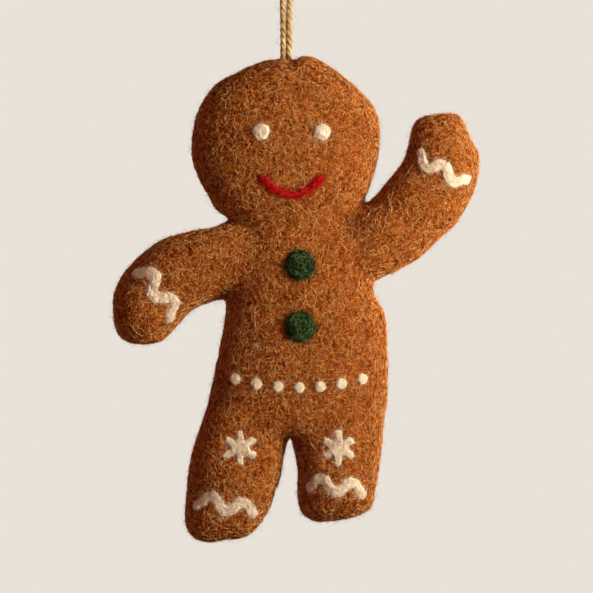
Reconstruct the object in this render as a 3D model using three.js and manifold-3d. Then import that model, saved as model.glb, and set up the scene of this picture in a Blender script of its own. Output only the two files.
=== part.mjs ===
// Felted wool gingerbread figure that hangs from a loop of twine, in millimetres, +Z up, facing -Y.
// The origin is where a hook or twig carries the loop: the underside of the loop's top bend.
import * as THREE from "three";
import { mergeVertices } from "three/addons/utils/BufferGeometryUtils.js";
import Module from "manifold-3d";

const wasm = await Module();
wasm.setup();

// Felt: a dyed wool coat felted over a core of plain wool. Neighbouring pieces keep a small gap.
const COAT_THICKNESS = 2.5;
const FELT_GAP = 0.3;
const SECTION_ROUNDNESS = 2.4; // superellipse power of a body's cross-section

// Hanging loop of twine and the stopper knot that holds it in the head
const TWINE_DIAMETER = 1.5;
const KNOT_DROP = 41.5; // from the hook down to the knot's centre
const KNOT_RADIUS = 2.8;
const KNOT_FLAT = 1.5; // the knot's flat top, above its centre
const KNOT_FOOT = -2.2; // the knot's underside
const SWAY_LIMIT = 20; // degrees that the figure leans on its knot, either way

// The twine's route from the knot, up one leg, over the hook and down the other leg to the knot, as [x, y, z]
const TWINE_ROUTE = [
  [-0.86, 0, -39.7], [-0.86, 0, -38], [-0.87, 0, -35], [-0.9, 0, -31], [-0.95, 0, -26.5], [-1.06, 0, -22],
  [-1.36, 0, -17.5], [-1.98, 0, -13], [-2.75, 0, -8.8], [-3.25, 0, -5.2], [-3.2, 0, -2.2], [-2.2, 0, -0.1],
  [0, 0, 0.75],
  [2.2, 0, -0.1], [3.2, 0, -2.2], [3.25, 0, -5.2], [2.75, 0, -8.8], [1.98, 0, -13], [1.36, 0, -17.5],
  [1.06, 0, -22], [0.95, 0, -26.5], [0.9, 0, -31], [0.87, 0, -35], [0.86, 0, -38], [0.86, 0, -39.7],
];

// Head, measured from the knot's centre
const HEAD_WIDTH = 47;
const HEAD_HEIGHT = 44;
const HEAD_DEPTH = 26;
const HEAD_TOP = 3.75;
const HEAD_SIDE_SHIFT = 0.1;
const HEAD_ROUNDNESS = 2.1; // superellipse power of the head's outline

// Torso, as places [x, z] from its top, which stands inside the head
const NECK_OVERLAP = 4.75;
const NECK_SIDE_SHIFT = 4.2;
const NECK_DEPTH = 20;
const TORSO_DEPTH = 23.5;
const HIP_DEPTH = 21.5;
const TORSO_TOP_CAP = 8;
const TORSO_BOTTOM_CAP = 6.5;
const TORSO_SPINE = [[0, 0], [0.1, -21.5], [0.5, -33.5], [-1, -45.5], [-2.6, -56.7]];
const TORSO_WIDTHS = [28, 37.8, 41.2, 43.6, 44.6];
const LIMB_END_ROUNDNESS = 2.5; // superellipse power of the ends of the torso, arms and legs

// Arms, as places from the torso's top
const ARM_DEPTH = 18.5;
const HAND_DEPTH = 17;
const ARM_CAP = 6.5;
const RAISED_ARM_SPINE = [[10.3, -10.7], [19, -6.5], [26.8, -0.5], [32.9, 6.6], [35.2, 15.1], [33.5, 25.7]];
const RAISED_ARM_WIDTHS = [18.5, 19, 19, 18.6, 17.6, 14.8];
const LOWERED_ARM_SPINE = [
  [-10.2, -11.3], [-18.2, -11.3], [-27, -13.1], [-35, -17.4], [-39.6, -24.3], [-40.5, -32.8],
];
const LOWERED_ARM_WIDTHS = [17.4, 17.8, 18.4, 18.8, 16.6, 15];

// Legs, as places from the torso's bottom
const LEG_DEPTH = 20.5;
const FOOT_DEPTH = 19;
const LEG_CAP = 7;
const STRAIGHT_LEG_SPINE = [[11.6, 12.2], [11.4, -0.8], [10.9, -8.8], [10.2, -14.8], [9.4, -20.2]];
const STRAIGHT_LEG_WIDTHS = [18, 21.8, 20.2, 18.7, 17.6];
const SLANTED_LEG_SPINE = [[-11, 12.2], [-12.9, -0.8], [-15.3, -10.8], [-16.6, -17.5], [-16.5, -25]];
const SLANTED_LEG_WIDTHS = [18, 23, 21, 20.6, 20];

// Face of felted wool roving, measured from the head's centre
const FACE_SIDE_SHIFT = 1.3;
const EYE_DIAMETER = 4.6;
const EYE_RISE = 1.4; // of the dome that is an eye
const EYE_SPACING = 15;
const EYE_HEIGHT = 2.65;
const SMILE_WIDTH = 15;
const SMILE_DROP = 4.2; // from the corners of the mouth to its lowest point
const SMILE_HEIGHT = -8.35; // of the corners
const SMILE_THICKNESS = 2.5;

// Buttons and a belt of dots, measured from the torso's top
const BUTTON_DIAMETER = 7.4;
const BUTTON_RISE = 2.9;
const BUTTON_SIDE_SHIFT = -0.7;
const UPPER_BUTTON_DROP = 13;
const BUTTON_SPACING = 15;
const BELT_DOT_DIAMETER = 3;
const BELT_DOT_RISE = 1.2;
const BELT_DOTS = 7;
const BELT_SPACING = 5.2;
const BELT_SIDE_SHIFT = -1;
const BELT_DROP = 43;
const BELT_SAG = 2; // the belt's ends stand this much above its middle

// Wavy cuffs and snowflakes of roving on the limbs
const ICING_THICKNESS = 3;
const ICING_SINK = 0.1; // how far a strand's centre lies below the felt
const CUFF_WAVES = 2; // waves across a limb
// A cuff's middle along its limb and to one side of it, its ends' distance to the limb's edges, the height of
// its waves from its middle line, and its slant in degrees
const CUFFS = {
  raised_arm: { fromTip: 15.4, shift: -0.3, margin: 2.3, wave: 1.5, slant: 15 },
  lowered_arm: { fromTip: 15.2, shift: -0.8, margin: 1.7, wave: 2, slant: 13 },
  straight_leg: { fromTip: 9.5, shift: 0, margin: 2.4, wave: 1.6, slant: 0 },
  slanted_leg: { fromTip: 9.5, shift: 0, margin: 2.4, wave: 1.6, slant: 0 },
};
const SNOWFLAKE_RADIUS = 4.2;
const SNOWFLAKE_STRAND = 2.2;
const SNOWFLAKE_RAYS = 3; // strands that cross in its middle
const SNOWFLAKE_FROM_ROOT = 13.5; // along the leg

// Facets
const SKIN_RINGS = 12;
const SKIN_SIDES = 16;
const CORE_RINGS = 8;
const CORE_SIDES = 10;
const STRAND_SIDES = 6;
const STEPS_PER_WAVE = 9;
const SMILE_STEPS = 12;
const RAY_STEPS = 4;
const TWINE_SIDES = 8;
const TWINE_STEPS = 56;
const KNOT_STEPS = 7;

// Colours
const BROWN_WOOL = 0x8f4f22;
const CORE_WOOL = 0xd9cbb2;
const CREAM_WOOL = 0xf0e3c6;
const RED_WOOL = 0xb3101c;
const GREEN_WOOL = 0x14401f;
const JUTE = 0xc9a469;

const headCentre = [HEAD_SIDE_SHIFT, HEAD_TOP - HEAD_HEIGHT / 2];
const neck = [NECK_SIDE_SHIFT, HEAD_TOP - HEAD_HEIGHT + NECK_OVERLAP];
const shifted = (base, places) => places.map(([x, z]) => [base[0] + x, base[1] + z]);
const hip = shifted(neck, TORSO_SPINE).at(-1);

function toSolid(geometry) {
  const bare = new THREE.BufferGeometry().setAttribute("position", geometry.getAttribute("position"));
  bare.setIndex(geometry.getIndex());
  const merged = mergeVertices(bare, 1e-4);
  const triVerts = new Uint32Array(merged.index.array);
  const vertProperties = new Float32Array(merged.attributes.position.array);
  return new wasm.Manifold(new wasm.Mesh({ numProp: 3, vertProperties, triVerts }));
}

function toGeometry(solid) {
  const { vertProperties, triVerts } = solid.getMesh();
  const geometry = new THREE.BufferGeometry();
  geometry.setAttribute("position", new THREE.BufferAttribute(new Float32Array(vertProperties), 3));
  geometry.setIndex(new THREE.BufferAttribute(new Uint32Array(triVerts), 1));
  geometry.computeVertexNormals();
  return geometry;
}

const cut = (solid, others) => others.reduce((left, other) => left.subtract(other), solid);

// A body's spine and its width and depth along it
function spineOf(body) {
  const graph = (sizes) => {
    const points = sizes.map((size) => new THREE.Vector3(size));
    return new THREE.CatmullRomCurve3(points, false, "catmullrom");
  };
  const line = new THREE.CatmullRomCurve3(body.spine.map(([x, z]) => new THREE.Vector3(x, 0, z)));
  return { line, length: line.getLength(), width: graph(body.widths), depth: graph(body.depths) };
}

// A plump body: superellipse rings along a spine in the XZ plane, rounded off at both ends.
// A positive inset shrinks it all round, and a negative one grows it.
function plump(body, inset, rings, sides) {
  const { line, length, width, depth } = spineOf(body);
  const ownLength = length - 2 * inset;
  const swell = (distance, cap) => {
    const short = 1 - Math.min(distance / (cap - inset), 1);
    return (1 - short ** body.roundness) ** (1 / body.roundness);
  };
  const squircle = (share) => Math.sign(share) * Math.abs(share) ** (2 / SECTION_ROUNDNESS);
  const points = [];
  for (let ring = 0; ring <= rings; ring++) {
    const reached = (ownLength * (1 - Math.cos((Math.PI * ring) / rings))) / 2;
    const along = (inset + reached) / length;
    const onSpine = THREE.MathUtils.clamp(along, 0, 1);
    const t = line.getUtoTmapping(onSpine);
    const tangent = line.getTangent(t);
    const centre = line.getPoint(t).addScaledVector(tangent, (along - onSpine) * length);
    if (ring === 0 || ring === rings) {
      points.push(centre);
      continue;
    }
    const round = swell(reached, body.caps[0]) * swell(ownLength - reached, body.caps[1]);
    const halfWidth = (width.getPoint(t).x / 2 - inset) * round;
    const halfDepth = (depth.getPoint(t).x / 2 - inset) * round;
    const across = new THREE.Vector3(tangent.z, 0, -tangent.x);
    for (let side = 0; side < sides; side++) {
      const angle = (2 * Math.PI * side) / sides;
      const place = centre.clone().addScaledVector(across, halfWidth * squircle(Math.cos(angle)));
      points.push(place.setY(halfDepth * squircle(Math.sin(angle))));
    }
  }
  const index = [];
  const at = (ring, side) => 1 + (ring - 1) * sides + (side % sides);
  for (let side = 0; side < sides; side++) {
    index.push(0, at(1, side + 1), at(1, side));
    index.push(points.length - 1, at(rings - 1, side), at(rings - 1, side + 1));
    for (let ring = 1; ring < rings - 1; ring++) {
      index.push(at(ring, side), at(ring + 1, side + 1), at(ring + 1, side));
      index.push(at(ring, side), at(ring, side + 1), at(ring + 1, side + 1));
    }
  }
  return new THREE.BufferGeometry().setFromPoints(points).setIndex(index);
}

// An arm or a leg keeps its depth from its root on and thins at its tip.
function limb(spine, widths, depth, tipDepth, cap) {
  const depths = [...widths.slice(1).map(() => depth), tipDepth];
  return { spine, widths, depths, caps: [cap, cap], roundness: LIMB_END_ROUNDNESS };
}

const bodies = {
  torso: {
    spine: shifted(neck, TORSO_SPINE),
    widths: TORSO_WIDTHS,
    depths: [NECK_DEPTH, TORSO_DEPTH, TORSO_DEPTH, TORSO_DEPTH, HIP_DEPTH],
    caps: [TORSO_TOP_CAP, TORSO_BOTTOM_CAP],
    roundness: LIMB_END_ROUNDNESS,
  },
  head: {
    spine: shifted(headCentre, [[0, HEAD_HEIGHT / 2], [0, -HEAD_HEIGHT / 2]]),
    widths: [HEAD_WIDTH, HEAD_WIDTH],
    depths: [HEAD_DEPTH, HEAD_DEPTH],
    caps: [HEAD_HEIGHT / 2, HEAD_HEIGHT / 2],
    roundness: HEAD_ROUNDNESS,
  },
  raised_arm: limb(shifted(neck, RAISED_ARM_SPINE), RAISED_ARM_WIDTHS, ARM_DEPTH, HAND_DEPTH, ARM_CAP),
  lowered_arm: limb(shifted(neck, LOWERED_ARM_SPINE), LOWERED_ARM_WIDTHS, ARM_DEPTH, HAND_DEPTH, ARM_CAP),
  straight_leg: limb(shifted(hip, STRAIGHT_LEG_SPINE), STRAIGHT_LEG_WIDTHS, LEG_DEPTH, FOOT_DEPTH, LEG_CAP),
  slanted_leg: limb(shifted(hip, SLANTED_LEG_SPINE), SLANTED_LEG_WIDTHS, LEG_DEPTH, FOOT_DEPTH, LEG_CAP),
};
const limbNames = Object.keys(bodies).filter((name) => name !== "torso");

// Each body's solids: its skin, the hollow of its coat, its core, and the room that neighbours leave it.
const solids = {};
for (const [name, body] of Object.entries(bodies)) {
  solids[name] = {
    skin: toSolid(plump(body, 0, SKIN_RINGS, SKIN_SIDES)),
    hollow: toSolid(plump(body, COAT_THICKNESS, CORE_RINGS, CORE_SIDES)),
    core: toSolid(plump(body, COAT_THICKNESS + FELT_GAP, CORE_RINGS, CORE_SIDES)),
    room: toSolid(plump(body, -FELT_GAP, SKIN_RINGS, SKIN_SIDES)),
  };
}
const rooms = Object.values(solids).map((solid) => solid.room);

// A turned solid about Z from a profile of [radius, height] that starts and ends on the axis
function turned(profile, sides) {
  const outline = profile.map(([radius, height]) => new THREE.Vector2(radius, height));
  return toSolid(new THREE.LatheGeometry(outline, sides).rotateX(Math.PI / 2));
}

// A tube of polygon section through a list of points
function tube(points, diameter, sides, steps) {
  const section = Array.from({ length: sides }, (_, side) => {
    const angle = (2 * Math.PI * side) / sides;
    return new THREE.Vector2(Math.cos(angle), Math.sin(angle)).multiplyScalar(diameter / 2);
  });
  const extrudePath = new THREE.CatmullRomCurve3(points);
  return toSolid(new THREE.ExtrudeGeometry(new THREE.Shape(section), { steps, extrudePath }));
}

// The pocket in the head for the knot, and the flared mouth that lets the twine lean in it
function knotPocket() {
  const ball = new THREE.SphereGeometry(KNOT_RADIUS + FELT_GAP, SKIN_SIDES, CORE_SIDES);
  const lean = THREE.MathUtils.degToRad(SWAY_LIMIT);
  const twineReach = TWINE_ROUTE.at(-1)[0] + TWINE_DIAMETER / 2 + FELT_GAP;
  const radius = (height) => height * Math.tan(lean) + twineReach / Math.cos(lean);
  const top = HEAD_TOP + TWINE_DIAMETER;
  const mouth = turned([[0, 0], [radius(0), 0], [radius(top), top], [0, top]], SKIN_SIDES);
  return toSolid(ball.rotateX(Math.PI / 2)).add(mouth);
}

const figure = new THREE.Group();
figure.position.z = -KNOT_DROP;
const ornament = new THREE.Group();
ornament.add(figure);

function addPiece(group, name, solid, color) {
  const material = new THREE.MeshStandardMaterial({ color, roughness: 0.95, metalness: 0 });
  const mesh = new THREE.Mesh(toGeometry(solid), material);
  mesh.name = name;
  group.add(mesh);
  return mesh;
}

// Coats are open where a limb's core passes through to the torso's core.
function addBodies() {
  const torso = solids.torso;
  const tunnels = limbNames.map((name) => solids[name].hollow);
  addPiece(figure, "torso_coat", cut(torso.skin, [torso.hollow, ...tunnels]), BROWN_WOOL);
  addPiece(figure, "torso_core", torso.core, CORE_WOOL);
  for (const name of limbNames) {
    const own = solids[name];
    const others = name === "head" ? [knotPocket()] : name.endsWith("arm") ? [solids.head.room] : [];
    addPiece(figure, name + "_coat", cut(own.skin, [torso.room, own.hollow, ...others]), BROWN_WOOL);
    addPiece(figure, name + "_core", cut(own.core, [torso.hollow, ...others]), CORE_WOOL);
  }
}

// The front of the felt at a place [x, z], as seen from the front: its point and outward normal
const skins = Object.values(solids).map((solid) => new THREE.Mesh(toGeometry(solid.skin)));
function frontAt([x, z]) {
  const eye = new THREE.Vector3(x, -HEAD_DEPTH, z);
  const [hit] = new THREE.Raycaster(eye, new THREE.Vector3(0, 1, 0)).intersectObjects(skins);
  return { point: hit.point, normal: hit.face.normal };
}

// A strand of roving laid on the felt through flat places
function strand(places, thickness) {
  const laid = places.map((place) => {
    const { point, normal } = frontAt(place);
    return point.addScaledVector(normal, -ICING_SINK);
  });
  return tube(laid, thickness, STRAND_SIDES, laid.length - 1);
}

// A low dome of felted wool on the front, cut to the felt below it
function dome(place, diameter, rise) {
  const { point, normal } = frontAt(place);
  const sides = diameter > EYE_DIAMETER ? SKIN_SIDES : CORE_SIDES;
  const ball = new THREE.SphereGeometry(diameter / 2, sides, sides / 2 + 1).rotateX(Math.PI / 2);
  ball.scale(1, 1, (2 * rise) / diameter);
  const turn = new THREE.Quaternion().setFromUnitVectors(new THREE.Vector3(0, 0, 1), normal);
  return cut(toSolid(ball.applyQuaternion(turn).translate(...point)), rooms);
}

function addFace() {
  const middle = headCentre[0] + FACE_SIDE_SHIFT;
  for (const [name, side] of [["right_eye", -1], ["left_eye", 1]]) {
    const place = [middle + (side * EYE_SPACING) / 2, headCentre[1] + EYE_HEIGHT];
    addPiece(figure, name, dome(place, EYE_DIAMETER, EYE_RISE), CREAM_WOOL);
  }
  const mouth = [];
  for (let step = 0; step <= SMILE_STEPS; step++) {
    const share = (2 * step) / SMILE_STEPS - 1;
    const drop = SMILE_DROP * (1 - share * share);
    mouth.push([middle + (share * SMILE_WIDTH) / 2, headCentre[1] + SMILE_HEIGHT - drop]);
  }
  addPiece(figure, "smile", cut(strand(mouth, SMILE_THICKNESS), rooms), RED_WOOL);
}

function addButtons() {
  ["upper_button", "lower_button"].forEach((name, i) => {
    const place = [neck[0] + BUTTON_SIDE_SHIFT, neck[1] - UPPER_BUTTON_DROP - i * BUTTON_SPACING];
    addPiece(figure, name, dome(place, BUTTON_DIAMETER, BUTTON_RISE), GREEN_WOOL);
  });
}

function addBelt() {
  for (let dot = 0; dot < BELT_DOTS; dot++) {
    const fromMiddle = dot - (BELT_DOTS - 1) / 2;
    const lift = BELT_SAG * (fromMiddle / ((BELT_DOTS - 1) / 2)) ** 2;
    const place = [neck[0] + BELT_SIDE_SHIFT + fromMiddle * BELT_SPACING, neck[1] - BELT_DROP + lift];
    addPiece(figure, "belt_dot_" + (dot + 1), dome(place, BELT_DOT_DIAMETER, BELT_DOT_RISE), CREAM_WOOL);
  }
}

// A wavy strand across a limb
function cuff(body, { fromTip, shift, margin, wave, slant }) {
  const { line, length, width } = spineOf(body);
  const t = line.getUtoTmapping(1 - fromTip / length);
  const turn = THREE.MathUtils.degToRad(slant);
  const along = line.getTangent(t).applyAxisAngle(new THREE.Vector3(0, 1, 0), turn);
  const across = new THREE.Vector3(along.z, 0, -along.x);
  const reach = (width.getPoint(t).x / 2 - margin) / Math.cos(turn);
  const steps = Math.round(CUFF_WAVES * STEPS_PER_WAVE);
  const places = [];
  for (let step = 0; step <= steps; step++) {
    const share = step / steps;
    const rise = wave * Math.cos(2 * Math.PI * CUFF_WAVES * share);
    const place = line.getPoint(t).addScaledVector(along, rise);
    place.addScaledVector(across, (2 * share - 1) * reach + shift);
    places.push([place.x, place.z]);
  }
  return cut(strand(places, ICING_THICKNESS), rooms);
}

// Strands that cross on a leg's front, at a distance along its spine from the root
function snowflake(body) {
  const { line, length } = spineOf(body);
  const middle = line.getPointAt(SNOWFLAKE_FROM_ROOT / length);
  const rays = [];
  for (let ray = 0; ray < SNOWFLAKE_RAYS; ray++) {
    const angle = Math.PI * (0.5 + ray / SNOWFLAKE_RAYS);
    const places = [];
    for (let step = 0; step <= RAY_STEPS; step++) {
      const reach = SNOWFLAKE_RADIUS * ((2 * step) / RAY_STEPS - 1);
      places.push([middle.x + reach * Math.cos(angle), middle.z + reach * Math.sin(angle)]);
    }
    rays.push(strand(places, SNOWFLAKE_STRAND));
  }
  return cut(rays.reduce((flake, ray) => flake.add(ray)), rooms);
}

function addLimbTrim() {
  for (const name of limbNames.filter((limbName) => limbName !== "head")) {
    addPiece(figure, name + "_cuff", cuff(bodies[name], CUFFS[name]), CREAM_WOOL);
    if (name.endsWith("leg")) {
      addPiece(figure, name + "_snowflake", snowflake(bodies[name]), CREAM_WOOL);
    }
  }
}

function addLoop() {
  const route = TWINE_ROUTE.map((place) => new THREE.Vector3(...place));
  addPiece(ornament, "hanging_twine", tube(route, TWINE_DIAMETER, TWINE_SIDES, TWINE_STEPS), JUTE);
  const low = Math.asin(KNOT_FOOT / KNOT_RADIUS);
  const high = Math.asin(KNOT_FLAT / KNOT_RADIUS);
  const profile = [[0, KNOT_FOOT]];
  for (let step = 0; step <= KNOT_STEPS; step++) {
    const angle = low + ((high - low) * step) / KNOT_STEPS;
    profile.push([KNOT_RADIUS * Math.cos(angle), KNOT_RADIUS * Math.sin(angle)]);
  }
  profile.push([0, KNOT_FLAT]);
  const knot = addPiece(ornament, "stopper_knot", turned(profile, CORE_SIDES), JUTE);
  knot.position.z = -KNOT_DROP;
}

addLoop();
addBodies();
addFace();
addButtons();
addBelt();
addLimbTrim();

export default ornament;
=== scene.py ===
# Looks of a needle-felted gingerbread figure that hangs on a loop of jute twine.
import math

import bmesh
import bpy
import numpy as np
from mathutils import Matrix, Vector, noise
from mathutils.bvhtree import BVHTree
from mathutils.kdtree import KDTree


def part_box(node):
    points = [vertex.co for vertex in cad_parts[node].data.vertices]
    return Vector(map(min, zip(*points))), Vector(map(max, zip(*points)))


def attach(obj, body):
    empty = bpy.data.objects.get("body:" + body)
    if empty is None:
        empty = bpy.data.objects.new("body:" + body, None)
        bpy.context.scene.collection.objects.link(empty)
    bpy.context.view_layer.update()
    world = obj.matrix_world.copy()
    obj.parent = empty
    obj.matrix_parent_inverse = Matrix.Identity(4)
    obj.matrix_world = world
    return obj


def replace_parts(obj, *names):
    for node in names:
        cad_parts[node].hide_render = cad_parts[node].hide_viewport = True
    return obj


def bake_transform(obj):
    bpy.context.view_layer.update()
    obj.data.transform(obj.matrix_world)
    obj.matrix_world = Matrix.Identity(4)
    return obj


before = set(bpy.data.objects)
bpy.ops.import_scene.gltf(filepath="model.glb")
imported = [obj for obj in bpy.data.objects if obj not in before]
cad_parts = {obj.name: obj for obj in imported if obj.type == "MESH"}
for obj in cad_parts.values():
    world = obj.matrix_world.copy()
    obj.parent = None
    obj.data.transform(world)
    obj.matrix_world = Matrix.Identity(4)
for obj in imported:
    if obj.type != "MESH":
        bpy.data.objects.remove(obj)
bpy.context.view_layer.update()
scene = bpy.context.scene
mm = 0.001
tiny = 1e-12  # keeps a length of nothing from dividing
weld = 0.002 * mm  # merges the loose corners in a copy of a solid
seed = 24
rng = np.random.default_rng(seed)
noise.seed_set(seed)
limbs = ("head", "torso", "raised_arm", "lowered_arm", "straight_leg", "slanted_leg")


# Camera: level with the figure's middle, straight in front of it
view = {
    "centre": (2.575 * mm, -97.6 * mm),  # x and z in the middle of the picture
    "distance": 0.8,
    "pictureWidth": 148.25 * mm,  # at the figure's own plane
    "sensor": 36.0,
    "nearest": 0.01,
}


def setCamera():
    camera = bpy.data.objects.new("camera", bpy.data.cameras.new("camera"))
    scene.collection.objects.link(camera)
    camera.location = (view["centre"][0], -view["distance"], view["centre"][1])
    camera.rotation_euler = (math.pi / 2, 0, 0)
    camera.data.sensor_width = view["sensor"]
    camera.data.lens = view["sensor"] * view["distance"] / view["pictureWidth"]
    camera.data.clip_start = view["nearest"]
    scene.camera = camera


# Mesh helpers
def linkMesh(name, bm, material):
    mesh = bpy.data.meshes.new(name)
    bm.to_mesh(mesh)
    bm.free()
    mesh.shade_smooth()
    mesh.materials.append(material)
    obj = bpy.data.objects.new(name, mesh)
    scene.collection.objects.link(obj)
    return obj


def mergedCopy(*nodes):
    bm = bmesh.new()
    for name in nodes:
        bm.from_mesh(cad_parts[name].data)
    bmesh.ops.remove_doubles(bm, verts=bm.verts, dist=weld)
    return bm


def remeshed(bm, voxel):
    mesh = bpy.data.meshes.new("draft")
    bm.to_mesh(mesh)
    bm.free()
    draft = bpy.data.objects.new("draft", mesh)
    scene.collection.objects.link(draft)
    remesh = draft.modifiers.new("voxels", "REMESH")
    remesh.mode = "VOXEL"
    remesh.voxel_size = voxel
    done = draft.evaluated_get(bpy.context.evaluated_depsgraph_get())
    bm = bmesh.new()
    bm.from_mesh(done.to_mesh())
    done.to_mesh_clear()
    bpy.data.objects.remove(draft)
    bpy.data.meshes.remove(mesh)
    return bm


def keepLargest(bm):
    left = set(bm.verts)
    groups = []
    while left:
        stack = [left.pop()]
        group = set(stack)
        while stack:
            for edge in stack.pop().link_edges:
                for vert in edge.verts:
                    if vert in left:
                        left.remove(vert)
                        group.add(vert)
                        stack.append(vert)
        groups.append(group)
    keep = max(groups, key=len)
    bmesh.ops.delete(bm, geom=[v for v in bm.verts if v not in keep], context="VERTS")


def relax(bm, rounds):
    for _ in range(rounds):
        bmesh.ops.smooth_vert(
            bm, verts=bm.verts, factor=0.5, use_axis_x=True, use_axis_y=True, use_axis_z=True)


def puff(bm, reach):
    bm.normal_update()
    for vert in bm.verts:
        vert.co += vert.normal * reach


# Node helpers
def node(tree, kind, inputs=None, **settings):
    made = tree.nodes.new(kind)
    for name, value in settings.items():
        setattr(made, name, value)
    for socket, value in (inputs or {}).items():
        if isinstance(value, bpy.types.NodeSocket):
            tree.links.new(value, made.inputs[socket])
        else:
            made.inputs[socket].default_value = value
    return made


def toLinear(level):
    share = level / 255
    return share / 12.92 if level < 10.3 else ((share + 0.055) / 1.055) ** 2.4


# A colour as a picture editor gives it
def colour(red, green, blue):
    return (toLinear(red), toLinear(green), toLinear(blue), 1)


def newGroup(name, inputs, outputs):
    group = bpy.data.node_groups.new(name, "ShaderNodeTree")
    for socket, kind in inputs:
        group.interface.new_socket(socket, in_out="INPUT", socket_type=kind)
    for socket, kind in outputs:
        group.interface.new_socket(socket, in_out="OUTPUT", socket_type=kind)
    return group, group.nodes.new("NodeGroupInput"), group.nodes.new("NodeGroupOutput")


def mathNode(tree, operation, first, second=0.0, clamp=False):
    made = node(tree, "ShaderNodeMath", {0: first, 1: second}, operation=operation, use_clamp=clamp)
    return made.outputs[0]


def mixColour(tree, factor, first, second):
    mix = node(tree, "ShaderNodeMix", data_type="RGBA")
    for socket, value in ((0, factor), (6, first), (7, second)):
        if isinstance(value, bpy.types.NodeSocket):
            tree.links.new(value, mix.inputs[socket])
        else:
            mix.inputs[socket].default_value = value
    return mix.outputs[2]


# Tangled wool: lines where stretched noise crosses its middle value, in several directions over each other
tangle = {
    "turns": ((0.3, 0.2, 0.1), (1.3, 0.7, 0.9), (0.5, 1.6, 2.1), (2.2, 1.1, 0.4)),  # two light, two dark
    "stretch": (1.0, 1.0, 0.6),
    "lineWidth": 0.05,
    "blotch": 0.14,  # share of the fibre scale
    "blotchShade": 0.2,
    "blotchHeight": 0.8,
    "lightShade": 0.8,
    "darkShade": 0.7,
    "darkDepth": 0.5,
    "fainterDark": 0.7,  # the second dark lines beside the first
}


def makeTangleGroup():
    colourKind, floatKind = "NodeSocketColor", "NodeSocketFloat"
    group, given, out = newGroup(
        "woolTangle",
        [("Fibre Scale", floatKind), ("Dark", colourKind), ("Middle", colourKind), ("Light", colourKind)],
        [("Colour", colourKind), ("Height", floatKind)],
    )
    place = node(group, "ShaderNodeTexCoord").outputs["Object"]
    scale = given.outputs["Fibre Scale"]
    lines = []
    for turn in tangle["turns"]:
        turned = node(group, "ShaderNodeMapping", {
            "Vector": place, "Rotation": turn, "Scale": tangle["stretch"],
        })
        wool = node(group, "ShaderNodeTexNoise", {
            "Vector": turned.outputs[0], "Scale": scale, "Detail": 2.0, "Roughness": 0.45, "Distortion": 0.6,
        })
        off = mathNode(group, "ABSOLUTE", mathNode(group, "SUBTRACT", wool.outputs[0], 0.5))
        away = mathNode(group, "DIVIDE", off, tangle["lineWidth"])
        lines.append(mathNode(group, "SUBTRACT", 1.0, away, clamp=True))
    blotchScale = mathNode(group, "MULTIPLY", scale, tangle["blotch"])
    blotches = node(group, "ShaderNodeTexNoise", {"Vector": place, "Scale": blotchScale, "Detail": 3.0})
    blotch = blotches.outputs[0]
    lightLines = mathNode(group, "MAXIMUM", lines[0], lines[1])
    fainter = mathNode(group, "MULTIPLY", lines[3], tangle["fainterDark"])
    darkLines = mathNode(group, "MAXIMUM", lines[2], fainter)
    dark, middle, light = (given.outputs[name] for name in ("Dark", "Middle", "Light"))
    base = mixColour(group, mathNode(group, "MULTIPLY", blotch, tangle["blotchShade"]), middle, dark)
    shaded = mixColour(group, mathNode(group, "MULTIPLY", darkLines, tangle["darkShade"]), base, dark)
    lit = mixColour(group, mathNode(group, "MULTIPLY", lightLines, tangle["lightShade"]), shaded, light)
    rise = mathNode(group, "ADD", lightLines, mathNode(group, "MULTIPLY", blotch, tangle["blotchHeight"]))
    height = mathNode(group, "SUBTRACT", rise, mathNode(group, "MULTIPLY", darkLines, tangle["darkDepth"]))
    group.links.new(lit, out.inputs["Colour"])
    group.links.new(height, out.inputs["Height"])
    return group


# One fibre's tone, from its map: across the map from dark to light fibres, up the map along a fibre, with
# painted shade towards its ends
paintedEndShade = {"shade": 1.2, "power": 2.0}  # painted shade: how a fibre darkens towards its ends, where the lying ones sink into the felt


def makeStrandGroup():
    colourKind = "NodeSocketColor"
    group, given, out = newGroup(
        "strandTone",
        [("Dark", colourKind), ("Middle", colourKind), ("Light", colourKind)],
        [("Colour", colourKind)],
    )
    spot = node(group, "ShaderNodeUVMap", uv_map="OFBake")
    split = node(group, "ShaderNodeSeparateXYZ", {"Vector": spot.outputs[0]})
    tone, along = split.outputs[0], split.outputs[1]
    low = mathNode(group, "MULTIPLY", tone, 2.0, clamp=True)
    high = mathNode(group, "SUBTRACT", mathNode(group, "MULTIPLY", tone, 2.0), 1.0, clamp=True)
    first = mixColour(group, low, given.outputs["Dark"], given.outputs["Middle"])
    second = mixColour(group, high, first, given.outputs["Light"])
    # Painted shade: the colour darkens towards both ends of the fibre
    fromMiddle = mathNode(group, "ABSOLUTE", mathNode(group, "SUBTRACT", along, 0.5))
    nearEnds = mathNode(group, "POWER", fromMiddle, paintedEndShade["power"])
    ends = mathNode(group, "MULTIPLY", nearEnds, paintedEndShade["shade"])
    group.links.new(mixColour(group, ends, second, given.outputs["Dark"]), out.inputs["Colour"])
    return group


# Dull finishes: roughness and sheen
finishes = {"felt": (0.95, 0.05), "fibre": (0.8, 0.06), "yarn": (0.85, 0.2)}
dullness = {"specular": 0.03, "sheenRoughness": 0.5}


def newMaterial(name, finish, sheenTint):
    material = bpy.data.materials.new(name)
    material.use_nodes = True
    shader = material.node_tree.nodes["Principled BSDF"]
    shader.inputs["Roughness"].default_value, shader.inputs["Sheen Weight"].default_value = finishes[finish]
    shader.inputs["Specular IOR Level"].default_value = dullness["specular"]
    shader.inputs["Sheen Roughness"].default_value = dullness["sheenRoughness"]
    shader.inputs["Sheen Tint"].default_value = sheenTint
    return material, material.node_tree, shader
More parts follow.
